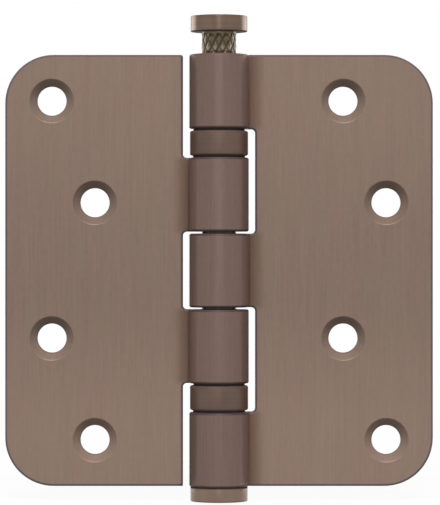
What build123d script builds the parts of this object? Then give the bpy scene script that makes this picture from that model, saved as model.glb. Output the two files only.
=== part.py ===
from build123d import *
import os
from math import asin, cos, degrees, radians, sqrt

# Ball bearing hinge, in millimetres. The origin lies on the pin's axis at mid height of the leaves.
# +Z runs up the pin, the frame leaf lies on +X, the door leaf on -X, and the screws go in along +Y.

# Leaves: both are blanks of the same sheet, rolled into knuckles at the inner edge
LEAF_HEIGHT = 89.0
LEAF_WIDTH = 44.15
SHEET = 2.5
CORNER_RADIUS = 10.0
CLOSED_GAP = 1.5
BEND_RADIUS = 6.2
SEAM_GAP = 0.6

# Knuckles: three on the frame leaf, two on the door leaf
MIDDLE_KNUCKLE = 15.2
DOOR_KNUCKLE = 15.25
KNUCKLE_GAP = 0.4
SLOT_CLEARANCE = 1.3
SLOT_CORNER = 0.8
OVERCUT = 2.0

# Screw holes: four in each leaf, in two staggered columns
HOLE_DIAMETER = 6.0
COUNTERSINK_DIAMETER = 9.1
COUNTERSINK_ANGLE = 90.0
OUTER_COLUMN_MARGIN = 9.6
COLUMN_SPACING = 8.9
END_HOLE_MARGIN = 9.5
ROW_SPACING = 21.0

# Pin, drawn up by the length of its knurl, and the plug below it
BORE_DIAMETER = 7.3
PIN_CLEARANCE = 0.1
PIN_END_CLEARANCE = 0.5
PIN_TIP_CHAMFER = 1.0
KNURL_LENGTH = 4.65
KNURL_CLEARANCE = 0.03
PIN_HEAD_DIAMETER = 11.7
PIN_HEAD_HEIGHT = 3.25
PLUG_HEAD_DIAMETER = 11.8
PLUG_HEAD_HEIGHT = 3.0
HEAD_CHAMFER = 0.2
PLUG_SPIGOT = 6.0
PLUG_CLEARANCE = 0.02
PLUG_CHAMFER = 0.6

# Thrust bearings: a case round two flat races, with a cage of balls between them
BEARING_SPACE = 5.9
CASE_DIAMETER = 12.0
CASE_HEIGHT = 5.1
CASE_WALL = 0.6
CASE_CHAMFER = 0.4
RACE_PRESS_CLEARANCE = 0.02
RACE_RUNNING_CLEARANCE = 0.1
BALL_COUNT = 8
BALL_CLEARANCE = 0.03
CAGE_THICKNESS = 0.4
CAGE_CLEARANCE = 0.1
CAGE_RIM = 0.125
POCKET_CLEARANCE = 0.05

# Heights along the pin
leaf_top = LEAF_HEIGHT / 2
middle_top = MIDDLE_KNUCKLE / 2
door_bottom = middle_top + KNUCKLE_GAP
door_top = door_bottom + DOOR_KNUCKLE
end_bottom = door_top + BEARING_SPACE

# The sheet seen along the pin: bore, barrel, and the bend that carries the leaf into the barrel
bore_radius = BORE_DIAMETER / 2
barrel_radius = bore_radius + SHEET
leaf_front = CLOSED_GAP / 2
leaf_back = leaf_front + SHEET
bend_centre_y = leaf_front + SHEET / 2 + BEND_RADIUS
bend_centre_distance = bore_radius + SHEET / 2 + BEND_RADIUS
bend_angle = degrees(asin(bend_centre_y / bend_centre_distance))
bend_centre = (bend_centre_distance * cos(radians(bend_angle)), bend_centre_y)
seam_y = leaf_front - SEAM_GAP
seam_bore_angle = degrees(asin(seam_y / bore_radius))
seam_barrel_angle = degrees(asin(seam_y / barrel_radius))
slot_edge = barrel_radius + SLOT_CLEARANCE

# Screw holes, as distance from the pin's axis and height on the blank
outer_column = LEAF_WIDTH - OUTER_COLUMN_MARGIN
inner_column = outer_column - COLUMN_SPACING
end_row = leaf_top - END_HOLE_MARGIN
middle_row = end_row - ROW_SPACING
screw_holes = [
    (inner_column, end_row),
    (outer_column, middle_row),
    (inner_column, -middle_row),
    (outer_column, -end_row),
]

os.makedirs("parts", exist_ok=True)

# The door leaf is the same blank as the frame leaf, turned over about the Y axis.
# Each leaf is slotted where the other leaf's knuckles and the bearings go.
leaves = {
    "frame_leaf": (1, [(middle_top, end_bottom), (-end_bottom, -middle_top)]),
    "door_leaf": (
        -1,
        [
            (door_top, leaf_top + OVERCUT),
            (-door_bottom, door_bottom),
            (-leaf_top - OVERCUT, -door_top),
        ],
    ),
}
for leaf_name, (side, slots) in leaves.items():
    section_plane = Plane((0, 0, -side * leaf_top), x_dir=(side, 0, 0), z_dir=(0, 0, side))
    front_plane = Plane((0, leaf_front, 0), x_dir=(side, 0, 0), z_dir=(0, -1, 0))
    with BuildPart() as leaf:
        with BuildSketch(section_plane):
            with BuildLine():
                Line((LEAF_WIDTH, leaf_front), (bend_centre[0], leaf_front))
                CenterArc(bend_centre, BEND_RADIUS + SHEET / 2, 270, bend_angle - 90)
                CenterArc((0, 0), bore_radius, bend_angle, 360 + seam_bore_angle - bend_angle)
                Line(
                    PolarLocations(bore_radius, 1, seam_bore_angle).locations[0].position,
                    PolarLocations(barrel_radius, 1, seam_barrel_angle).locations[0].position,
                )
                CenterArc((0, 0), barrel_radius, bend_angle, 360 + seam_barrel_angle - bend_angle)
                CenterArc(bend_centre, BEND_RADIUS - SHEET / 2, 270, bend_angle - 90)
                Line((bend_centre[0], leaf_back), (LEAF_WIDTH, leaf_back))
                Line((LEAF_WIDTH, leaf_back), (LEAF_WIDTH, leaf_front))
            make_face()
        extrude(amount=LEAF_HEIGHT)
        with BuildSketch(front_plane):
            for low, high in slots:
                with Locations(((slot_edge - barrel_radius - OVERCUT) / 2, (low + high) / 2)):
                    RectangleRounded(slot_edge + barrel_radius + OVERCUT, high - low, SLOT_CORNER)
        extrude(amount=barrel_radius + OVERCUT, both=True, mode=Mode.SUBTRACT)
        fillet(leaf.edges().filter_by(Axis.Y).sort_by_distance((0, 0, 0))[-2:], CORNER_RADIUS)
        with Locations(front_plane):
            with Locations(*screw_holes):
                CounterSinkHole(
                    HOLE_DIAMETER / 2,
                    COUNTERSINK_DIAMETER / 2,
                    counter_sink_angle=COUNTERSINK_ANGLE,
                )
    leaf.part.label = leaf_name
    export_step(leaf.part, f"parts/{leaf_name}.step")

# Hinge pin: a turned shank with a knurled band under a flat round head
pin_radius = bore_radius - PIN_CLEARANCE
knurl_radius = bore_radius - KNURL_CLEARANCE
pin_head_radius = PIN_HEAD_DIAMETER / 2
pin_head_base = leaf_top + KNURL_LENGTH
pin_tip = pin_head_base - (LEAF_HEIGHT - PLUG_SPIGOT - PIN_END_CLEARANCE)
with BuildPart() as hinge_pin:
    with BuildSketch(Plane.XZ):
        with BuildLine():
            Polyline(
                (0, pin_tip),
                (pin_radius - PIN_TIP_CHAMFER, pin_tip),
                (pin_radius, pin_tip + PIN_TIP_CHAMFER),
                (pin_radius, leaf_top),
                (knurl_radius, leaf_top),
                (knurl_radius, pin_head_base),
                (pin_head_radius, pin_head_base),
                (pin_head_radius, pin_head_base + PIN_HEAD_HEIGHT),
                (0, pin_head_base + PIN_HEAD_HEIGHT),
                close=True,
            )
        make_face()
    revolve(axis=Axis.Z)
    chamfer(hinge_pin.edges().filter_by(GeomType.CIRCLE).sort_by(SortBy.RADIUS)[-2:], HEAD_CHAMFER)
hinge_pin.part.label = "hinge_pin"
export_step(hinge_pin.part, "parts/hinge_pin.step")

# Bottom plug: its head closes the lowest knuckle and its spigot sits in the bore
plug_radius = bore_radius - PLUG_CLEARANCE
plug_head_radius = PLUG_HEAD_DIAMETER / 2
with BuildPart() as bottom_plug:
    with BuildSketch(Plane.XZ):
        with BuildLine():
            Polyline(
                (0, -leaf_top - PLUG_HEAD_HEIGHT),
                (plug_head_radius, -leaf_top - PLUG_HEAD_HEIGHT),
                (plug_head_radius, -leaf_top),
                (plug_radius, -leaf_top),
                (plug_radius, -leaf_top + PLUG_SPIGOT - PLUG_CHAMFER),
                (plug_radius - PLUG_CHAMFER, -leaf_top + PLUG_SPIGOT),
                (0, -leaf_top + PLUG_SPIGOT),
                close=True,
            )
        make_face()
    revolve(axis=Axis.Z)
    chamfer(bottom_plug.edges().filter_by(GeomType.CIRCLE).sort_by(SortBy.RADIUS)[-2:], HEAD_CHAMFER)
bottom_plug.part.label = "bottom_plug"
export_step(bottom_plug.part, "parts/bottom_plug.step")

# Sizes inside a bearing: the cage fills the ring between bore and case, and the balls fill its pockets
case_radius = CASE_DIAMETER / 2
case_bore_radius = case_radius - CASE_WALL
cage_inner_radius = bore_radius + CAGE_CLEARANCE
cage_outer_radius = case_bore_radius - CAGE_CLEARANCE
pitch_radius = (cage_inner_radius + cage_outer_radius) / 2
pocket_radius = (cage_outer_radius - cage_inner_radius) / 2 - CAGE_RIM
ball_diameter = 2 * (pocket_radius - POCKET_CLEARANCE)
ball_facet = ball_diameter * (1 - sqrt(0.5))
race_gap = ball_diameter + 2 * BALL_CLEARANCE
race_height = (BEARING_SPACE - race_gap) / 2
bearing_middles = {
    "upper_bearing": door_top + BEARING_SPACE / 2,
    "lower_bearing": -door_top - BEARING_SPACE / 2,
}

for bearing_name, middle in bearing_middles.items():
    # Case: a turned sleeve that hides the races and is pressed on the lower one
    with BuildPart() as case:
        with BuildSketch(Plane.XY.offset(middle - CASE_HEIGHT / 2)):
            Circle(case_radius)
            Circle(case_bore_radius, mode=Mode.SUBTRACT)
        extrude(amount=CASE_HEIGHT)
        outer_edges = case.edges().filter_by(GeomType.CIRCLE).sort_by(SortBy.RADIUS)[-2:]
        chamfer(outer_edges, CASE_CHAMFER)
    case.part.label = f"{bearing_name}_case"
    export_step(case.part, f"parts/{bearing_name}_case.step")

    # Races: thick washers that bear on the knuckles, with the balls rolling on their inner faces
    races = {
        "upper_race": (1, case_bore_radius - RACE_RUNNING_CLEARANCE),
        "lower_race": (-1, case_bore_radius - RACE_PRESS_CLEARANCE),
    }
    for race_name, (way, race_radius) in races.items():
        with BuildPart() as race:
            with BuildSketch(Plane.XY.offset(middle + way * race_gap / 2)):
                Circle(race_radius)
                Circle(bore_radius, mode=Mode.SUBTRACT)
            extrude(amount=way * race_height)
        race.part.label = f"{bearing_name}_{race_name}"
        export_step(race.part, f"parts/{bearing_name}_{race_name}.step")

    # Cage: a flat ring with an eight-sided pocket for each ball
    with BuildPart() as cage:
        with BuildSketch(Plane.XY.offset(middle - CAGE_THICKNESS / 2)):
            Circle(cage_outer_radius)
            Circle(cage_inner_radius, mode=Mode.SUBTRACT)
            with PolarLocations(pitch_radius, BALL_COUNT):
                RegularPolygon(pocket_radius, 8, major_radius=False, mode=Mode.SUBTRACT)
        extrude(amount=CAGE_THICKNESS)
    cage.part.label = f"{bearing_name}_cage"
    export_step(cage.part, f"parts/{bearing_name}_cage.step")

    # Balls: one in each pocket, each a solid of 26 facets tangent to the ball
    for number, pocket in enumerate(PolarLocations(pitch_radius, BALL_COUNT).locations, start=1):
        with BuildPart(Plane(pocket).offset(middle)) as ball:
            Box(ball_diameter, ball_diameter, ball_diameter)
            chamfer(ball.edges(), ball_facet)
        ball.part.label = f"{bearing_name}_ball_{number:02d}"
        export_step(ball.part, f"parts/{bearing_name}_ball_{number:02d}.step")
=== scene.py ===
import bmesh
import bpy
import numpy as np
from math import cos, pi, radians, tan
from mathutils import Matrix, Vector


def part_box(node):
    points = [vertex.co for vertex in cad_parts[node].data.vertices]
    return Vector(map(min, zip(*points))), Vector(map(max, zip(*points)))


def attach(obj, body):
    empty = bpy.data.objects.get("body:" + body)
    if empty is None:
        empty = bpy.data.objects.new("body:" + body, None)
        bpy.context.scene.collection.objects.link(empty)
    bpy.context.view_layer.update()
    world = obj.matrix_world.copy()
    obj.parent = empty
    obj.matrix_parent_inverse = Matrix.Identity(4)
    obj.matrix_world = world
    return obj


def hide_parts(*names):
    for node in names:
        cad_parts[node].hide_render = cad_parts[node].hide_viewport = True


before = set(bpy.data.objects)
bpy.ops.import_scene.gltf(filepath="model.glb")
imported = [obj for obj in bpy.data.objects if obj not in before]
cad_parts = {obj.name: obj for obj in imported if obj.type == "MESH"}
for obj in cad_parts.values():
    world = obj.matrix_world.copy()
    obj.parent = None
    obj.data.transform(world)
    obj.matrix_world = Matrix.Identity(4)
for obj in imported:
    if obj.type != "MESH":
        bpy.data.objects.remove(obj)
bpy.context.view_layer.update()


# Leaves: two blanks of 2.5 mm steel sheet, punched, countersunk and rolled into knuckles round the pin.
# Their faces are brushed along the pin and coated in satin bronze, and the cut edges are darker.
MM = 0.001


class Shade:
    """A socket in a tree of shader nodes. Arithmetic adds Math nodes, and node() adds any other."""

    def __init__(self, tree, socket=None):
        self.tree = tree
        self.socket = socket

    def node(self, kind, settings, inputs, output=0):
        """Adds a node of that kind, sets it up, fills or links its inputs, and gives one output."""
        made = self.tree.nodes.new("ShaderNode" + kind)
        for name, value in settings.items():
            setattr(made, name, value)
        for name, value in inputs.items():
            if isinstance(value, Shade):
                self.tree.links.new(value.socket, made.inputs[name])
            else:
                made.inputs[name].default_value = value
        return Shade(self.tree, made.outputs[output])

    def math(self, operation, first, second=0.0):
        """One Math node on two sockets or numbers."""
        return self.node("Math", {"operation": operation}, {0: first, 1: second})

    def __add__(self, other):
        return self.math("ADD", self, other)

    def __sub__(self, other):
        return self.math("SUBTRACT", self, other)

    def __rsub__(self, other):
        return self.math("SUBTRACT", other, self)

    def __mul__(self, other):
        return self.math("MULTIPLY", self, other)

    def __pow__(self, other):
        return self.math("POWER", self, other)

    def __abs__(self):
        return self.math("ABSOLUTE", self)

    __radd__ = __add__
    __rmul__ = __mul__

    def step(self, low, high):
        """0 below low, 1 above high, and an S-curve between them."""
        return self.node("MapRange", {"interpolation_type": "SMOOTHSTEP"}, {0: self, 1: low, 2: high})

    def between(self, low, high):
        """A value that goes from low to high as this one goes from 0 to 1."""
        return low + self * (high - low)

    def mix(self, first, second):
        """A colour that goes from first to second as this value goes from 0 to 1."""
        colours = [colour if isinstance(colour, Shade) else (*colour, 1) for colour in (first, second)]
        sockets = {0: self, 6: colours[0], 7: colours[1]}
        return self.node("Mix", {"data_type": "RGBA"}, sockets, output=2)

    def tones(self, first, second, spread=0.15):
        """A colour from first to second by this noise, most of which lies within spread of 0.5."""
        return self.step(0.5 - spread, 0.5 + spread).mix(first, second)

    def lit(self, level):
        """This colour, made darker or lighter by a level about 1."""
        return self.node("VectorMath", {"operation": "SCALE"}, {0: self, "Scale": level})

    def bump(self, strength, depth):
        """A normal for the shader, from this value as a height of up to depth."""
        return self.node("Bump", {}, {"Strength": strength, "Distance": depth, "Height": self})


def srgb(red, green, blue):
    """The linear colour of a colour written in 0-255 steps as a screen shows it."""
    steps = np.array([red, green, blue]) / 255
    return tuple(np.where(steps <= 0.04045, steps / 12.92, ((steps + 0.055) / 1.055) ** 2.4))


def start_material(name):
    """A material, a Shade in its tree, and its Principled shader."""
    material = bpy.data.materials.new(name)
    material.use_nodes = True
    return material, Shade(material.node_tree), material.node_tree.nodes["Principled BSDF"]


def feed(shader, **inputs):
    """Links a Shade to each named input of the shader, or sets a plain value on it."""
    for name, value in inputs.items():
        socket = shader.inputs[name.replace("_", " ").title()]
        if isinstance(value, Shade):
            value.tree.links.new(value.socket, socket)
        else:
            socket.default_value = value


def object_place(shade):
    """Where a point lies in the shared frame with the hinge at rest, in metres."""
    return shade.node("TexCoord", {}, {}, output="Object")


def object_axes(shade):
    """The x, y and z of that place, each by itself."""
    place = object_place(shade)
    return [shade.node("SeparateXYZ", {}, {0: place}, output=axis) for axis in "XYZ"]


def from_axis(shade):
    """How far that place lies from the pin's axis: the root of x squared plus y squared."""
    x, y = object_axes(shade)[:2]
    return (x * x + y * y) ** 0.5


def noise(shade, waves, detail=2.0):
    """Noise from 0 to 1, with so many waves to a metre along x, y and z."""
    stretched = shade.node("Mapping", {}, {"Vector": object_place(shade), "Scale": waves})
    return shade.node("TexNoise", {}, {"Vector": stretched, "Scale": 1, "Detail": detail})


BARREL_RADIUS = 6.15 * MM
FACE_Y = 0.75 * MM
BACK_Y = 3.25 * MM
MIDDLE_KNUCKLE_END = 7.8 * MM
DOOR_KNUCKLE_END = 23.3 * MM
END_KNUCKLE_START = 29.1 * MM
# A fade is where one tone begins to go over into the next, and where it has done so
ROW_FADE = (-0.8 * MM, 0.8 * MM)
FACE_FADE = (FACE_Y, FACE_Y + 0.1 * MM)
BACK_FADE = (BACK_Y - 0.1 * MM, BACK_Y)
SIDE_FADE = (-1 * MM, 1 * MM)
LEAF_FADE = (BARREL_RADIUS + 0.02 * MM, BARREL_RADIUS + 0.2 * MM)
FLANK_FADE = (3.8 * MM, 5.2 * MM)
ROOT_FADE = (6.4 * MM, 10.0 * MM)
HOLES_FADE = (11 * MM, 12 * MM)
ENDS_FADE = (4 * MM, 36 * MM)
TOP_FADE = (43 * MM, 44 * MM)
LEAF_ROSE = srgb(141, 118, 106)
LEAF_OLIVE = srgb(139, 120, 106)
# The root colour below is painted shade, which a leaf fades into beside its own knuckles.
ROOT_SHADE_COLOUR = srgb(92, 66, 50)
KNUCKLE_COLOUR = srgb(127, 105, 97)
FLANK_COLOUR = srgb(128, 105, 99)
# The bend colour below is painted light: the barrel's flank on the side joined to its leaf is lighter,
# as if lit by the leaf.
BEND_PAINTED_LIGHT = srgb(142, 117, 109)
KNUCKLE_EDGE = srgb(80, 66, 67)
LEAF_EDGE = srgb(104, 92, 97)
ROOT_SHADE_SHARE = 0.72
EDGE_SHARE = 0.85
# Painted light and shade on top edges: a leaf's top edge is darker against the lamp from above, and a
# knuckle's top edge is less dark, as that lamp lights it.
KNUCKLE_TOP_EDGE_PAINTED_LIGHT = 0.45
LEAF_TOP_EDGE_PAINTED_SHADE = 0.6
# Patterns are in waves to a metre along x, y and z
BRUSH_LINES = (2600, 2600, 80)
BRUSH_BANDS = (700, 700, 26)
TONE_DRIFT = (160, 160, 50)
SPECKS = (1300, 1300, 700)
LINE_CONTRAST = 0.26
BAND_CONTRAST = 0.1
SPECK_CONTRAST = 0.15
BARREL_LEVEL = 0.98
# Painted light and shade: a leaf is lighter towards its ends, most of all the lower one, and darker in
# its middle.
LEAF_MIDDLE_PAINTED_SHADE = 0.06
UPPER_END_PAINTED_LIGHT = 0.07
LOWER_END_PAINTED_LIGHT = 0.19
BRUSH_BUMP = 0.15
BRUSH_DEPTH = 0.02 * MM
BARREL_ROUGHNESS = 0.26
LEAF_DULLING = 0.1
SUNK_DULLING = 0.2
LINE_DULLING = 0.1
EDGE_ROUGHNESS = 0.5
FACE_METAL = 0.3
SUNK_METAL = 0.1
LEAF_SPECULAR = 0.15


def joined_rows(x, z):
    """1 in the rows where a leaf runs into a knuckle of its own, and 0 in the rows of its slots.

    The frame leaf, on the +X side, has the middle and the end knuckles, and the door leaf the others."""
    past_middle, past_door, past_bearing = [
        (abs(z) - end).step(*ROW_FADE)
        for end in (MIDDLE_KNUCKLE_END, DOOR_KNUCKLE_END, END_KNUCKLE_START)
    ]
    frame_rows = 1 - past_middle + past_bearing
    door_rows = past_middle - past_door
    frame_side = x.step(*SIDE_FADE)
    return frame_side * frame_rows + (1 - frame_side) * door_rows


def bronze_face(name, worn):
    """Satin bronze: fine brush lines along the pin, over a slow drift from rose to olive.

    A leaf is painted with shade beside its own knuckles, painted lighter towards its ends, most of all
    the lower one, and painted darker in its middle.
    The countersinks are duller than the face. worn gives the greyer finish of the cut edges."""
    material, shade, shader = start_material(name)
    x, y, z = object_axes(shade)
    across = abs(x)
    on_leaf = from_axis(shade).step(*LEAF_FADE)
    joined = joined_rows(x, z)
    lines = noise(shade, BRUSH_LINES, detail=4)
    bands = noise(shade, BRUSH_BANDS)
    drift = noise(shade, TONE_DRIFT, detail=3)
    specks = noise(shade, SPECKS, detail=3)
    # Painted shade beside a leaf's own knuckles, where the barrel meets the face.
    root = joined * (1 - across.step(*ROOT_FADE))
    flat = (root * ROOT_SHADE_SHARE).mix(drift.tones(LEAF_ROSE, LEAF_OLIVE), ROOT_SHADE_COLOUR)
    # Painted light: on the side joined to the leaf the barrel's flank is lighter, as if lit by the leaf;
    # on the free side it keeps nearly the knuckle's own colour.
    flank_light = joined.mix(FLANK_COLOUR, BEND_PAINTED_LIGHT)
    barrel = across.step(*FLANK_FADE).mix(KNUCKLE_COLOUR, flank_light)
    colour = on_leaf.mix(barrel, flat)
    if worn:
        # Painted shade on the leaf's top edge, and painted light on the knuckles' top edges.
        top = z.step(*TOP_FADE)
        edge = (on_leaf * (1 - top * LEAF_TOP_EDGE_PAINTED_SHADE)).mix(KNUCKLE_EDGE, LEAF_EDGE)
        colour = (EDGE_SHARE - (1 - on_leaf) * top * KNUCKLE_TOP_EDGE_PAINTED_LIGHT).mix(colour, edge)
    # Painted light towards the leaf's ends, most of all at the lower one, and painted shade in its
    # middle.
    ends = z.step(*ENDS_FADE) * UPPER_END_PAINTED_LIGHT + (-1 * z).step(*ENDS_FADE) * LOWER_END_PAINTED_LIGHT
    level = BARREL_LEVEL + on_leaf * (ends - LEAF_MIDDLE_PAINTED_SHADE)
    level = level + (lines - 0.5) * LINE_CONTRAST
    level = level + (bands - 0.5) * BAND_CONTRAST
    level = level + (specks - 0.5) * SPECK_CONTRAST
    sunk = y.step(*FACE_FADE) * (1 - y.step(*BACK_FADE)) * across.step(*HOLES_FADE)
    roughness = EDGE_ROUGHNESS
    if not worn:
        roughness = BARREL_ROUGHNESS + on_leaf * LEAF_DULLING
        roughness = roughness + sunk * SUNK_DULLING + (lines - 0.5) * LINE_DULLING
    feed(shader, base_color=colour.lit(level), roughness=roughness)
    feed(shader, metallic=sunk.between(FACE_METAL, SUNK_METAL))
    feed(shader, normal=lines.bump(BRUSH_BUMP, BRUSH_DEPTH))
    shader.inputs["Specular IOR Level"].default_value = LEAF_SPECULAR
    return material


EDGE_ROUND = 0.45 * MM
RIM_ROUND = 0.12 * MM
BORE_RIM_ROUND = 0.22 * MM
ROUND_SEGMENTS = 4
FINISH_BESIDE = -1
EDGE_FINISH = 1
SHARP_ANGLE = radians(30)
MERGE = 0.001 * MM
FLAT = radians(0.5)
OUTLINE_BAND = 4 * MM
KNUCKLE_ZONE = 12 * MM
BEND_STRIP = 9 * MM
BEND_START = radians(8.5)


def rolled_sheet(leaf):
    """A leaf's own triangles, joined at their corners, with flat areas made single faces again.

    A strip along the bend, where the face has turned by less than BEND_START, also becomes one face,
    so that no edge runs beside the rounding of a slot's corner."""
    sheet = bpy.data.meshes.new(leaf + "_rolled")
    edit = bmesh.new()
    edit.from_mesh(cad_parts[leaf].data)
    bmesh.ops.remove_doubles(edit, verts=edit.verts, dist=MERGE)
    bmesh.ops.dissolve_limit(edit, angle_limit=FLAT, verts=edit.verts, edges=edit.edges)
    for side in (-1, 1):
        whole = [*edit.verts, *edit.edges, *edit.faces]
        bmesh.ops.bisect_plane(edit, geom=whole, plane_co=(side * BEND_STRIP, 0, 0), plane_no=(1, 0, 0))
    edit.normal_update()
    strip = {
        face for face in edit.faces
        if abs(face.normal.y) > cos(BEND_START) and abs(face.calc_center_median().x) < BEND_STRIP
    }
    inner = [
        edge for edge in edit.edges
        if len(edge.link_faces) == 2 and strip.issuperset(edge.link_faces)
    ]
    bmesh.ops.dissolve_edges(edit, edges=inner, use_verts=False)
    edit.to_mesh(sheet)
    edit.free()
    sheet.shade_smooth()
    return sheet


def read_all(items, name, width, kind=float):
    """One property of all the items of a mesh, as an array with a row for each item."""
    values = np.empty(len(items) * width, kind)
    items.foreach_get(name, values)
    return values.reshape(-1, width)


def mark_edges(sheet):
    """Marks the sharp edges to be rounded: cut edges, rims of the screw holes, and their inner rims.

    An edge is sharp where its two faces turn by more than SHARP_ANGLE. It is a hole's rim where it lies
    away from the knuckles and further inside the leaf's outline than OUTLINE_BAND, and an inner one
    where it lies between the leaf's face and back."""
    points = read_all(sheet.vertices, "co", 3)
    ends = read_all(sheet.edges, "vertices", 2, int)
    normals = read_all(sheet.polygons, "normal", 3)
    corners = read_all(sheet.polygons, "loop_total", 1, int).ravel()
    edge_of_corner = read_all(sheet.loops, "edge_index", 1, int).ravel()
    face_of_corner = np.repeat(np.arange(len(corners)), corners)
    pairs = face_of_corner[np.argsort(edge_of_corner, kind="stable")].reshape(-1, 2)
    first, second = normals[pairs.T]
    sharp = np.einsum("ij,ij->i", first, second) < cos(SHARP_ANGLE)
    across = np.abs(points[:, 0])
    height = np.abs(points[:, 2])
    inside = np.minimum(across.max() - across, height.max() - height)
    on_plate = (across > KNUCKLE_ZONE) & (inside > OUTLINE_BAND)
    rim = on_plate[ends].all(axis=1)
    depth = points[:, 1][ends].mean(axis=1)
    inner = rim & (depth > FACE_Y + RIM_ROUND) & (depth < BACK_Y - RIM_ROUND)
    marks = {"cut_edge": sharp & ~rim, "hole_rim": sharp & rim & ~inner, "bore_rim": sharp & inner}
    for name, chosen in marks.items():
        attribute = sheet.attributes.new(name, "FLOAT", "EDGE")
        attribute.data.foreach_set("value", chosen.astype(np.float32))


def round_edges(piece, mark, width, finish):
    """Rounds a piece's marked edges, in its finish of that number or the finish beside each edge."""
    rounding = piece.modifiers.new(mark, "BEVEL")
    rounding.limit_method = "WEIGHT"
    rounding.edge_weight = mark
    rounding.width = width
    rounding.segments = ROUND_SEGMENTS
    rounding.material = finish
    rounding.use_clamp_overlap = False


def add_piece(mesh, body, slot, node, *materials):
    """Puts a mesh in the scene as a piece of its name, which rides on a body and stands for a node."""
    piece = bpy.data.objects.new(mesh.name, mesh)
    bpy.context.scene.collection.objects.link(piece)
    for material in materials:
        mesh.materials.append(material)
    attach(piece, body)
    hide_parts(node)
    return piece


leaf_bronze = bronze_face("leaf_bronze", worn=False)
edge_bronze = bronze_face("edge_bronze", worn=True)
for leaf, body in (("frame_leaf", "frame"), ("door_leaf", "door")):
    sheet = rolled_sheet(leaf)
    mark_edges(sheet)
    piece = add_piece(sheet, body, "leaf_bronze", leaf, leaf_bronze, edge_bronze)
    round_edges(piece, "hole_rim", RIM_ROUND, FINISH_BESIDE)
    round_edges(piece, "bore_rim", BORE_RIM_ROUND, EDGE_FINISH)
    round_edges(piece, "cut_edge", EDGE_ROUND, EDGE_FINISH)
    weighting = piece.modifiers.new("flat faces shade flat", "WEIGHTED_NORMAL")
    weighting.keep_sharp = False


# Races: hardened steel washers, blackened and oiled, that carry the thrust of a knuckle onto the balls.
# The lower one is pressed in the bearing's case and the upper one runs free in it.
BEARINGS = ("upper_bearing", "lower_bearing")
RACE_COLOUR = srgb(54, 48, 48)
RACE_DARK = srgb(34, 29, 30)
RACE_RINGS = 9000
RACE_RING_DEPTH = 0.01 * MM
RACE_ROUGHNESS = (0.4, 0.55)
RACE_METAL = 0.8
FINE_BUMP = 0.2
WIDE_SPREAD = 0.2


def tool_rings(shade, waves):
    """Fine rings round the pin's axis, on sides and ends alike: noise of radius and height alone."""
    height = object_axes(shade)[2]
    outline = shade.node("CombineXYZ", {}, {0: from_axis(shade) * waves, 1: height * waves})
    return shade.node("TexNoise", {}, {"Vector": outline, "Scale": 1, "Detail": 2})


def blackened_steel():
    """Blackened steel: fine rings round the axis from a grinding wheel, under an oily black."""
    material, shade, shader = start_material("blackened_steel")
    rings = tool_rings(shade, RACE_RINGS)
    colour = rings.tones(RACE_DARK, RACE_COLOUR, WIDE_SPREAD)
    feed(shader, base_color=colour, roughness=rings.between(*RACE_ROUGHNESS), metallic=RACE_METAL)
    feed(shader, normal=rings.bump(FINE_BUMP, RACE_RING_DEPTH))
    return material


def dress(node, material):
    """Gives a node that is shown as it is a finish of this scene."""
    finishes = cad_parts[node].data.materials
    finishes.clear()
    finishes.append(material)


race_steel = blackened_steel()
for bearing in BEARINGS:
    for race in ("upper_race", "lower_race"):
        dress(f"{bearing}_{race}", race_steel)


# Cages: rings stamped from thin brass, with a pocket that keeps each ball in its place.
# They float between the races and turn half as far as the door leaf.
BRASS_COLOUR = srgb(196, 164, 104)
BRASS_DARK = srgb(160, 128, 76)
BRASS_STREAKS = (260, 4200, 4200)
BRASS_STREAK_DEPTH = 0.01 * MM
BRASS_CLOUDS = (900, 900, 900)
BRASS_CLOUD_SHARE = 0.7
BRASS_ROUGHNESS = (0.24, 0.4)


def stamped_brass():
    """Stamped brass: rolled streaks along X and cloudy, slightly dulled patches."""
    material, shade, shader = start_material("stamped_brass")
    streaks = noise(shade, BRASS_STREAKS)
    clouds = noise(shade, BRASS_CLOUDS, detail=3)
    blend = clouds * BRASS_CLOUD_SHARE + streaks * (1 - BRASS_CLOUD_SHARE)
    colour = blend.tones(BRASS_DARK, BRASS_COLOUR)
    feed(shader, base_color=colour, roughness=clouds.between(*BRASS_ROUGHNESS), metallic=1.0)
    feed(shader, normal=streaks.bump(FINE_BUMP, BRASS_STREAK_DEPTH))
    return material


cage_brass = stamped_brass()
for bearing in BEARINGS:
    dress(f"{bearing}_cage", cage_brass)


# Balls: eight polished steel balls in each cage, rolling on the flat faces of the races.
# Each is a true round ball, on the place and size of the solid that stands for it.
BALLS = 8
BALL_ROWS = 24
BALL_COLUMNS = 48
BALL_COLOUR = srgb(205, 206, 208)
BALL_DARK = srgb(176, 177, 180)
BALL_CLOUDS = (2600, 2600, 2600)
BALL_ROUGHNESS = (0.06, 0.14)


def closed_grid(name, points):
    """A closed round surface from a grid of points, rows from pole to pole and columns round the axis.

    The first and last rows are single points, the poles. Each row's last column joins its first."""
    rows, columns = points.shape[:2]
    ring = np.arange(columns)
    beside_ring = np.roll(ring, -1)
    vertices = np.vstack([points[0, :1], points[1:-1].reshape(-1, 3), points[-1, :1]])
    start = 1 + np.arange(rows - 3)[:, None] * columns
    here = start + ring
    beside = start + beside_ring
    quads = np.stack([here, beside, beside + columns, here + columns], axis=-1).reshape(-1, 4)
    last = np.full(columns, len(vertices) - 1)
    top = 1 + (rows - 3) * columns
    low_cap = np.stack([np.zeros(columns, int), 1 + beside_ring, 1 + ring], axis=-1)
    high_cap = np.stack([last, top + ring, top + beside_ring], axis=-1)
    mesh = bpy.data.meshes.new(name)
    faces = [*low_cap.tolist(), *quads.tolist(), *high_cap.tolist()]
    mesh.from_pydata(vertices, [], faces, shade_flat=False)
    return mesh


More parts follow.
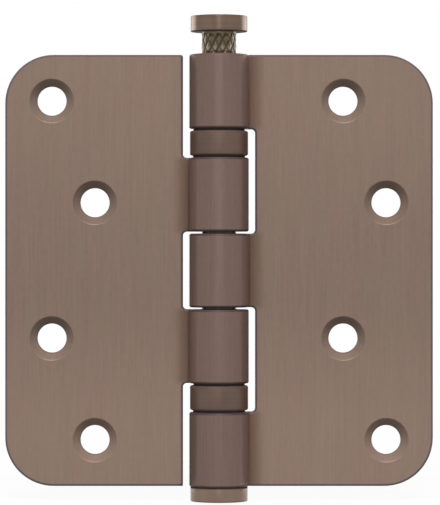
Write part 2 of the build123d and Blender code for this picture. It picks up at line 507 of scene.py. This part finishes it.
def ball_surface(name, middle, radius):
    """A sphere: rows of latitude from pole to pole, each a circle of the radius times its cosine."""
    latitude = np.linspace(-pi / 2, pi / 2, BALL_ROWS)[:, None]
    turn = np.linspace(0, 2 * pi, BALL_COLUMNS, endpoint=False)[None, :]
    x = np.cos(latitude) * np.cos(turn)
    y = np.cos(latitude) * np.sin(turn)
    z = np.sin(latitude) * np.ones_like(turn)
    return closed_grid(name, np.array(middle) + radius * np.stack([x, y, z], axis=-1))


def polished_steel():
    """Polished steel: almost a mirror, with a faint cloudiness."""
    material, shade, shader = start_material("polished_steel")
    clouds = noise(shade, BALL_CLOUDS, detail=3)
    colour = clouds.tones(BALL_DARK, BALL_COLOUR, WIDE_SPREAD)
    feed(shader, base_color=colour, roughness=clouds.between(*BALL_ROUGHNESS), metallic=1.0)
    return material


ball_steel = polished_steel()
for bearing, body in zip(BEARINGS, ("upper_ball_ring", "lower_ball_ring")):
    for number in range(1, BALLS + 1):
        ball = f"{bearing}_ball_{number:02d}"
        low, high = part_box(ball)
        surface = ball_surface(ball + "_round", (low + high) / 2, (high.z - low.z) / 2)
        add_piece(surface, body, "ball_steel", ball, ball_steel)


# Cases: short sleeves turned from bar, with rounded rims, that hide each bearing's races and balls.
# Each is pressed on the lower race and coated in a darker, more olive bronze than the leaves.
CASE_WALL = 0.6 * MM
CASE_RIM_ROUND = 0.45 * MM
CASE_INNER_ROUND = 0.08 * MM
CASE_RIM_FADE = (1.9 * MM, 2.2 * MM)
CASE_COLOUR = srgb(106, 85, 72)
CASE_DARK = srgb(96, 76, 67)
CASE_ROUGHNESS = (0.36, 0.7)
CASE_METAL = 0.4
TURNED_RINGS = 5200
TURNED_RING_DEPTH = 0.015 * MM
TURNED_DRIFT = (240, 240, 130)
TURNED_DRIFT_SHARE = 0.6
TURNED_COLUMNS = 128
ARC_POINTS = 6
NEARLY_NOTHING = 1e-12
case_low, case_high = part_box("upper_bearing_case")
case_middle = (case_low.z + case_high.z) / 2


def rounded_profile(corners):
    """A turned outline (radius, height) with each corner cut by an arc of its own radius.

    corners are (radius, height, rounding). An arc touches both sides of its corner at the distance
    rounding / tan(half the angle between them), so its centre lies at rounding / sin(half the angle)
    from the corner, and its points swing from one touch to the other."""
    points = np.array(corners, float)
    places, roundings = points[:, :2], points[:, 2]
    before = np.roll(places, 1, axis=0) - places
    after = np.roll(places, -1, axis=0) - places
    before /= np.linalg.norm(before, axis=1, keepdims=True)
    after /= np.linalg.norm(after, axis=1, keepdims=True)
    half = np.arccos(np.clip(np.sum(before * after, axis=1), -1, 1)) / 2
    bisector = before + after
    bisector /= np.maximum(np.linalg.norm(bisector, axis=1, keepdims=True), NEARLY_NOTHING)
    centre = places + bisector * (roundings / np.sin(half))[:, None]
    swing = np.linspace(-1, 1, ARC_POINTS)[None, :, None] * (pi / 2 - half)[:, None, None]
    sideways = after - before
    sideways /= np.linalg.norm(sideways, axis=1, keepdims=True)
    arcs = centre[:, None] + roundings[:, None, None] * (
        np.sin(swing) * sideways[:, None] - np.cos(swing) * bisector[:, None]
    )
    return arcs.reshape(-1, 2)


def turned_ring(name, profile):
    """A closed outline carried round the Z axis: x = r cos(turn), y = r sin(turn), z as it was."""
    turn = np.linspace(0, 2 * pi, TURNED_COLUMNS, endpoint=False)
    x = profile[:, :1] * np.cos(turn)
    y = profile[:, :1] * np.sin(turn)
    z = np.repeat(profile[:, 1:], TURNED_COLUMNS, axis=1)
    vertices = np.stack([x, y, z], axis=-1).reshape(-1, 3)
    grid = np.arange(len(vertices)).reshape(len(profile), TURNED_COLUMNS)
    beside = np.roll(grid, -1, axis=1)
    above = np.roll(grid, -1, axis=0)
    quads = np.stack([grid, beside, np.roll(beside, -1, axis=0), above], axis=-1).reshape(-1, 4)
    mesh = bpy.data.meshes.new(name)
    mesh.from_pydata(vertices, [], quads.tolist(), shade_flat=False)
    return mesh


def turned_bronze(name, light, dark, metal):
    """Turned bronze: fine rings round the axis from the tool, over a slow drift between two tones."""
    material, shade, shader = start_material(name)
    rings = tool_rings(shade, TURNED_RINGS)
    drift = noise(shade, TURNED_DRIFT)
    blend = drift * TURNED_DRIFT_SHARE + rings * (1 - TURNED_DRIFT_SHARE)
    colour = blend.tones(dark, light)
    feed(shader, base_color=colour, metallic=metal, normal=rings.bump(FINE_BUMP, TURNED_RING_DEPTH))
    return material, shade, shader, colour


def case_finish():
    """Dark turned bronze, duller round both rims."""
    material, shade, shader = turned_bronze("case_bronze", CASE_COLOUR, CASE_DARK, CASE_METAL)[:3]
    height = abs(object_axes(shade)[2])
    rim = abs(height - case_middle).step(*CASE_RIM_FADE)
    feed(shader, roughness=rim.between(*CASE_ROUGHNESS))
    return material


case_bronze = case_finish()
for bearing, body in zip(BEARINGS, ("door", "frame")):
    case = bearing + "_case"
    low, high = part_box(case)
    bore = high.x - CASE_WALL
    profile = rounded_profile([
        (high.x, low.z, CASE_RIM_ROUND),
        (high.x, high.z, CASE_RIM_ROUND),
        (bore, high.z, CASE_INNER_ROUND),
        (bore, low.z, CASE_INNER_ROUND),
    ])
    add_piece(turned_ring(case + "_turned", profile), body, "case_bronze", case, case_bronze)


# Hinge pin: a turned steel shank with a flat round head and a diamond knurl that grips the top knuckle.
# It stands drawn up by the length of its knurl, as the photograph shows it, and slides out of the bore.
PIN_RADIUS = 3.55 * MM
PIN_TIP_CHAMFER = 1.0 * MM
PIN_TIP_ROUND = 0.2 * MM
KNURL_RADIUS = 3.62 * MM
KNURL_LENGTH = 4.65 * MM
KNURL_DEPTH = 0.26 * MM
KNURL_TEETH = 14
KNURL_SLANT = radians(28)
KNURL_SHARPNESS = 1.3
KNURL_LEFT_DEPTH = 0.8
KNURL_NECK = 0.3 * MM
KNURL_STEP = 0.05 * MM
KNURL_STEP_ROUND = 0.01 * MM
KNURL_ROWS = 110
KNURL_COLUMNS = 336
PIN_HEAD_HEIGHT = 3.25 * MM
SEAT_GAP = 0.02 * MM
SEAT_ROUND = 0.02 * MM
HEAD_ROUND = 0.18 * MM
HEAD_FADE = 0.1 * MM
PIN_COLOUR = srgb(118, 99, 85)
PIN_DARK = srgb(104, 86, 75)
# The pin's edge colour is both the dark rims and painted shade under the pin's head and on the plug's
# shoulder.
PIN_EDGE_AND_PAINTED_SHADE = srgb(72, 59, 56)
# The shank's colour is painted shade for the gaps between the knuckles, where the shank shows.
SHANK_PAINTED_SHADE = srgb(66, 57, 51)
# The knurl's valley colour is painted shade in its grooves, and its point colour is a painted highlight.
KNURL_VALLEY_SHADE = srgb(66, 54, 39)
KNURL_CREST = srgb(104, 94, 75)
KNURL_POINT_HIGHLIGHT = srgb(150, 138, 120)
KNURL_WEAR = (1100, 1100, 800)
KNURL_WEAR_RANGE = (0.6, 1.2)
CREST_FADE = (0.4 * MM, 0.7 * MM)
POINT_FADE_IN = (0.6 * MM, 0.8 * MM)
POINT_FADE_OUT = (1.3 * MM, 1.7 * MM)
HEAD_ROUGHNESS = (0.24, 0.69)
HEAD_METAL = 0.8
pin_low, pin_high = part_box("hinge_pin")
head_base = pin_high.z - PIN_HEAD_HEIGHT
head_radius = pin_high.x
knurl_base = head_base - KNURL_LENGTH


def open_profile(corners):
    """A rounded outline from the axis to the axis: its two ends, on the axis, stay single points."""
    arcs = rounded_profile(corners).reshape(len(corners), ARC_POINTS, 2)
    return np.vstack([arcs[0, :1], arcs[1:-1].reshape(-1, 2), arcs[-1, :1]])


def turned_solid(name, profile, columns=TURNED_COLUMNS, cut=None):
    """An outline from pole to pole carried round the Z axis, less the depth that cut gives there."""
    turn = np.linspace(0, 2 * pi, columns, endpoint=False)[None, :]
    radius = profile[:, :1] + np.zeros_like(turn)
    height = profile[:, 1:] + np.zeros_like(turn)
    if cut is not None:
        radius = radius - cut(turn, height)
    points = np.stack([radius * np.cos(turn), radius * np.sin(turn), height], axis=-1)
    return closed_grid(name, points)


def knurl_cut(turn, height):
    """Two sets of V grooves that wind opposite ways: the deeper one counts, so pyramids stand between.

    A groove's depth falls from its middle to the crest as a triangle wave of turn * teeth minus or plus
    height / lead, raised to a power that leaves the crests broad. The set that winds left is cut less
    deep, and both fade out over a neck at the knurl's two ends."""
    lead = 2 * pi * KNURL_RADIUS / KNURL_TEETH / tan(KNURL_SLANT)
    wind = turn * KNURL_TEETH / (2 * pi)
    rise = (height - knurl_base) / lead
    right = (np.abs((wind - rise) % 1 - 0.5) * 2) ** KNURL_SHARPNESS
    left = (np.abs((wind + rise) % 1 - 0.5) * 2) ** KNURL_SHARPNESS
    fade = np.clip((height - knurl_base) / KNURL_NECK, 0, 1)
    fade = fade * np.clip((head_base - KNURL_NECK - height) / KNURL_NECK, 0, 1)
    return KNURL_DEPTH * np.maximum(right, KNURL_LEFT_DEPTH * left) * fade


def pin_profile():
    """The pin's outline, with close rows along the knurl so that its grooves are cut cleanly.

    Those rows come after the tip's point and the four rounded corners up to the knurl's foot."""
    outline = open_profile([
        (0, pin_low.z, 0),
        (PIN_RADIUS - PIN_TIP_CHAMFER, pin_low.z, PIN_TIP_ROUND),
        (PIN_RADIUS, pin_low.z + PIN_TIP_CHAMFER, PIN_TIP_ROUND),
        (PIN_RADIUS, knurl_base - KNURL_STEP, KNURL_STEP_ROUND),
        (KNURL_RADIUS, knurl_base, KNURL_STEP_ROUND),
        (KNURL_RADIUS, head_base + SEAT_GAP, SEAT_ROUND),
        (head_radius, head_base + SEAT_GAP, HEAD_ROUND),
        (head_radius, pin_high.z, HEAD_ROUND),
        (0, pin_high.z, 0),
    ])
    heights = np.linspace(knurl_base, head_base, KNURL_ROWS + 2)[1:-1]
    band = np.stack([np.full(KNURL_ROWS, KNURL_RADIUS), heights], axis=-1)
    foot = 1 + 4 * ARC_POINTS
    return np.vstack([outline[:foot], band, outline[foot:]])


def on_rim(radius, outside):
    """0 on the flat of a turned head, and 1 from the middle of its rounded rim outwards."""
    return radius.step(outside - 1.5 * HEAD_ROUND, outside - 0.5 * HEAD_ROUND)


def pin_finish():
    """Turned bronze on the head, with a dark top edge and painted shade on its underside, over a dark
    shank and a worn knurl. The shank's dark colour is painted shade for the gaps where it shows.

    The knurl's grooves are painted with shade, its crests are paler in patches, and its lowest row of
    points is painted with highlights."""
    material, shade, shader, colour = turned_bronze("pin_bronze", PIN_COLOUR, PIN_DARK, HEAD_METAL)
    z = object_axes(shade)[2]
    radius = from_axis(shade)
    past_knurl = radius.step(KNURL_RADIUS, KNURL_RADIUS + HEAD_FADE)
    near_top = z.step(pin_high.z - 1.2 * HEAD_ROUND, pin_high.z - 0.4 * HEAD_ROUND)
    above_seat = z.step(head_base + 0.4 * HEAD_ROUND, head_base + 1.6 * HEAD_ROUND)
    # Painted shade on the head's underside, above the knurl.
    underside = (1 - above_seat) * past_knurl
    colour = (on_rim(radius, head_radius) * near_top + underside).mix(colour, PIN_EDGE_AND_PAINTED_SHADE)
    # The dark shank is painted shade for the gaps where it shows.
    colour = z.step(knurl_base - KNURL_NECK, knurl_base).mix(SHANK_PAINTED_SHADE, colour)
    wear = noise(shade, KNURL_WEAR, detail=3).between(*KNURL_WEAR_RANGE)
    crest = radius.step(KNURL_RADIUS - KNURL_DEPTH, KNURL_RADIUS - 0.2 * KNURL_DEPTH) * wear
    # Painted highlights on the lowest row of points, and painted shade in the grooves.
    above_foot = z - knurl_base
    points = above_foot.step(*POINT_FADE_IN) * (1 - above_foot.step(*POINT_FADE_OUT))
    crest_and_point_highlight = (points * crest).mix(KNURL_CREST, KNURL_POINT_HIGHLIGHT)
    knurled = (crest * above_foot.step(*CREST_FADE)).mix(KNURL_VALLEY_SHADE, crest_and_point_highlight)
    above_shank = z.step(knurl_base, knurl_base + KNURL_NECK)
    below_head = 1 - z.step(head_base - 2 * KNURL_NECK, head_base)
    on_knurl = above_shank * below_head * (1 - past_knurl)
    feed(shader, base_color=on_knurl.mix(colour, knurled), roughness=underside.between(*HEAD_ROUGHNESS))
    return material


surface = turned_solid("hinge_pin_turned", pin_profile(), KNURL_COLUMNS, knurl_cut)
add_piece(surface, "pin", "pin_bronze", "hinge_pin", pin_finish())


# Bottom plug: a turned button whose spigot is pressed in the lowest knuckle's bore.
# Its head matches the pin's, with the same coating and rounded rims.
PLUG_HEAD_HEIGHT = 3.0 * MM
PLUG_SPIGOT_RADIUS = 3.63 * MM
PLUG_CHAMFER = 0.6 * MM
PLUG_CHAMFER_ROUND = 0.1 * MM
PLUG_SEAT_ROUND = 0.05 * MM
PLUG_COLOUR = srgb(138, 116, 102)
PLUG_DARK = srgb(124, 103, 91)
PLUG_FOOT_SHARE = 0.5
plug_low, plug_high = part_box("bottom_plug")
plug_radius = plug_high.x
plug_shoulder = plug_low.z + PLUG_HEAD_HEIGHT


def plug_finish():
    """Turned bronze like the pin's head, with painted shade on its shoulder under the lowest knuckle,
    and a darker edge round its foot.
    """
    material, shade, shader, colour = turned_bronze("plug_bronze", PLUG_COLOUR, PLUG_DARK, HEAD_METAL)
    z = object_axes(shade)[2]
    # Painted shade on the shoulder, under the lowest knuckle.
    shoulder = z.step(plug_shoulder - 2.2 * HEAD_ROUND, plug_shoulder - 0.8 * HEAD_ROUND)
    above_foot = z.step(plug_low.z + 0.6 * HEAD_ROUND, plug_low.z + 2.4 * HEAD_ROUND)
    foot = on_rim(from_axis(shade), plug_radius) * (1 - above_foot)
    colour = (shoulder + foot * PLUG_FOOT_SHARE).mix(colour, PIN_EDGE_AND_PAINTED_SHADE)
    feed(shader, base_color=colour, roughness=shoulder.between(*HEAD_ROUGHNESS))
    return material


profile = open_profile([
    (0, plug_low.z, 0),
    (plug_radius, plug_low.z, HEAD_ROUND),
    (plug_radius, plug_shoulder, HEAD_ROUND),
    (PLUG_SPIGOT_RADIUS, plug_shoulder, PLUG_SEAT_ROUND),
    (PLUG_SPIGOT_RADIUS, plug_high.z - PLUG_CHAMFER, PLUG_CHAMFER_ROUND),
    (PLUG_SPIGOT_RADIUS - PLUG_CHAMFER, plug_high.z, PLUG_CHAMFER_ROUND),
    (0, plug_high.z, 0),
])
surface = turned_solid("bottom_plug_turned", profile)
add_piece(surface, "frame", "pin_bronze", "bottom_plug", plug_finish())


# Studio: a pale floor under the plug, a white surround, four soft lamps, and a camera before the hinge.
# The floor and the surround are white to the camera and in reflections, and the floor keeps a shadow.
bpy.context.scene.view_settings.view_transform = "Standard"
FLOOR_SIZE = 6.0
FLOOR_DROP = 0.02 * MM
FLOOR_WHITE = (0.98, 0.98, 0.98)
FLOOR_PALE = (0.95, 0.95, 0.95)
FLOOR_BOUNCE = (0.15, 0.15, 0.15)
FLOOR_GRAIN = (400, 400, 400)
FLOOR_ROUGHNESS = 0.9
FLOOR_GLOW = 0.93
FLOOR_FADE = (0.12, 0.6)
WHITE = (1, 1, 1, 1)
SURROUND_LIGHT = 0.27
CAMERA_PLACE = (0.2 * MM, -665 * MM, 3.7 * MM)
CAMERA_LENS = 230.0
CAMERA_SENSOR = 36.0
LOOKING_LEVEL = radians(90)


def seen_white(shade):
    """1 for rays from the camera, reflections and glass, and 0 for the light on matt surfaces."""
    camera, glossy, through = [
        shade.node("LightPath", {}, {}, output=f"Is {kind} Ray")
        for kind in ("Camera", "Glossy", "Transmission")
    ]
    return shade.math("MAXIMUM", shade.math("MAXIMUM", camera, glossy), through)


def floor_finish():
    """Pale matt floor that shines plain white by FLOOR_GLOW where it is seen, and is shaded in the rest.

    Further off it shines wholly white, so that it ends in the white surround without a line. Matt
    surfaces get little light back from it, so that the undersides of the hinge stay dark."""
    material, shade, shader = start_material("pale_floor")
    far = from_axis(shade).step(*FLOOR_FADE)
    seen = seen_white(shade)
    grain = noise(shade, FLOOR_GRAIN).mix(FLOOR_PALE, FLOOR_WHITE)
    feed(shader, base_color=seen.mix(FLOOR_BOUNCE, grain), roughness=FLOOR_ROUGHNESS)
    matt = Shade(material.node_tree, shader.outputs[0])
    glow = shade.node("Emission", {}, {"Color": WHITE, "Strength": 1.0})
    glow_share = seen * far.between(FLOOR_GLOW, 1)
    mixed = shade.node("MixShader", {}, {0: glow_share, 1: matt, 2: glow})
    surface = material.node_tree.nodes["Material Output"].inputs["Surface"]
    material.node_tree.links.new(mixed.socket, surface)
    return material


corners = np.array([(-1, -1), (1, -1), (1, 1), (-1, 1)]) * FLOOR_SIZE / 2
corners = np.column_stack([corners, np.full(4, plug_low.z - FLOOR_DROP)])
floor_mesh = bpy.data.meshes.new("floor")
floor_mesh.from_pydata(corners, [], [(0, 1, 2, 3)])
floor_mesh.materials.append(floor_finish())
floor = bpy.data.objects.new("floor", floor_mesh)
bpy.context.scene.collection.objects.link(floor)

world = bpy.data.worlds.new("studio")
world.use_nodes = True
bpy.context.scene.world = world
shade = Shade(world.node_tree)
strength = seen_white(shade).between(SURROUND_LIGHT, 1)
surround = shade.node("Background", {}, {"Color": WHITE, "Strength": strength})
world.node_tree.links.new(surround.socket, world.node_tree.nodes["World Output"].inputs["Surface"])

for name, place, turn, size, power in (
    ("key", (0.0, -1.36, 1.48), (radians(42.6), 0, 0), (0.8, 0.7), 31.0),
    ("front", (0.0, -0.95, 0.22), (LOOKING_LEVEL, 0, 0), (0.22, 0.5), 0.32),
    ("rim left", (-0.47, 0.37, 0.02), (LOOKING_LEVEL, 0, radians(232)), (0.4, 0.5), 1.25),
    ("rim right", (0.47, 0.37, 0.02), (LOOKING_LEVEL, 0, radians(128)), (0.4, 0.5), 1.25),
):
    light = bpy.data.lights.new(name, "AREA")
    light.shape = "RECTANGLE"
    light.size, light.size_y = size
    light.energy = power
    lamp = bpy.data.objects.new(name, light)
    lamp.location = place
    lamp.rotation_euler = turn
    lamp.visible_camera = False
    bpy.context.scene.collection.objects.link(lamp)

lens = bpy.data.cameras.new("camera")
lens.lens = CAMERA_LENS
lens.sensor_width = CAMERA_SENSOR
camera = bpy.data.objects.new("camera", lens)
camera.location = CAMERA_PLACE
camera.rotation_euler = (LOOKING_LEVEL, 0, 0)
bpy.context.scene.collection.objects.link(camera)
bpy.context.scene.camera = camera
